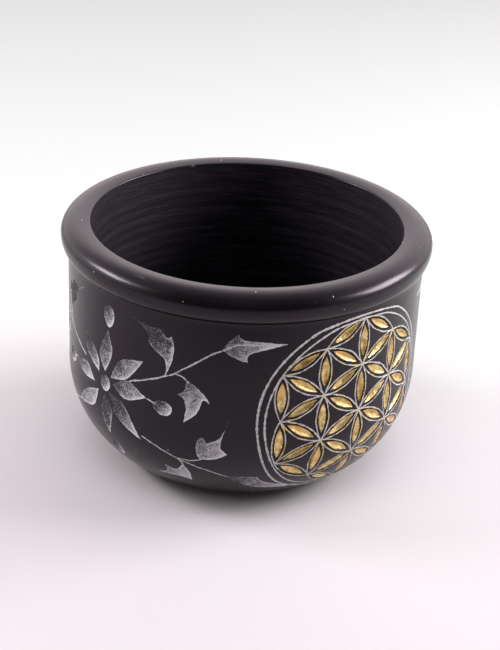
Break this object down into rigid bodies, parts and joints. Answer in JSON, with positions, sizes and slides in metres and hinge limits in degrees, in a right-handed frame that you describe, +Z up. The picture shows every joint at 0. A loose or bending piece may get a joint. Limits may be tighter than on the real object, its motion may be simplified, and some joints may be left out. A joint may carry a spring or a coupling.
{
  "type": "black clay pot",
  "caption": "Small burnished black clay pot with a rolled rim, a rounded bottom and a chip-carved medallion of gilded petals.",
  "frame": {"origin": "middle of the flat base, on the pot's axis", "axes": "+Z up along the pot's axis, out of the mouth; -Y is the front, and the gilded medallion is centred 40.5 degrees from -Y towards +X"},
  "size_m": [0.11, 0.11, 0.0753],
  "materials": {
    "burnished_black_clay": "burnished, low satin gloss",
    "gold_fill": "gold paint over a carved groove, slightly rough"
  },
  "bodies": {
    "root": {"pot_body": "burnished_black_clay", "gold_petal_01": "gold_fill", "gold_petal_02": "gold_fill", "gold_petal_03": "gold_fill", "gold_petal_04": "gold_fill", "gold_petal_05": "gold_fill", "gold_petal_06": "gold_fill", "gold_petal_07": "gold_fill", "gold_petal_08": "gold_fill", "gold_petal_09": "gold_fill", "gold_petal_10": "gold_fill", "gold_petal_11": "gold_fill", "gold_petal_12": "gold_fill", "gold_petal_13": "gold_fill", "gold_petal_14": "gold_fill", "gold_petal_15": "gold_fill", "gold_petal_16": "gold_fill", "gold_petal_17": "gold_fill", "gold_petal_18": "gold_fill", "gold_petal_19": "gold_fill", "gold_petal_20": "gold_fill", "gold_petal_21": "gold_fill", "gold_petal_22": "gold_fill", "gold_petal_23": "gold_fill", "gold_petal_24": "gold_fill", "gold_petal_25": "gold_fill", "gold_petal_26": "gold_fill", "gold_petal_27": "gold_fill", "gold_petal_28": "gold_fill", "gold_petal_29": "gold_fill", "gold_petal_30": "gold_fill", "gold_petal_31": "gold_fill", "gold_petal_32": "gold_fill", "gold_petal_33": "gold_fill", "gold_petal_34": "gold_fill", "gold_petal_35": "gold_fill", "gold_petal_36": "gold_fill", "gold_petal_37": "gold_fill", "gold_petal_38": "gold_fill", "gold_petal_39": "gold_fill", "gold_petal_40": "gold_fill", "gold_petal_41": "gold_fill", "gold_petal_42": "gold_fill"}
  },
  "joints": []
}
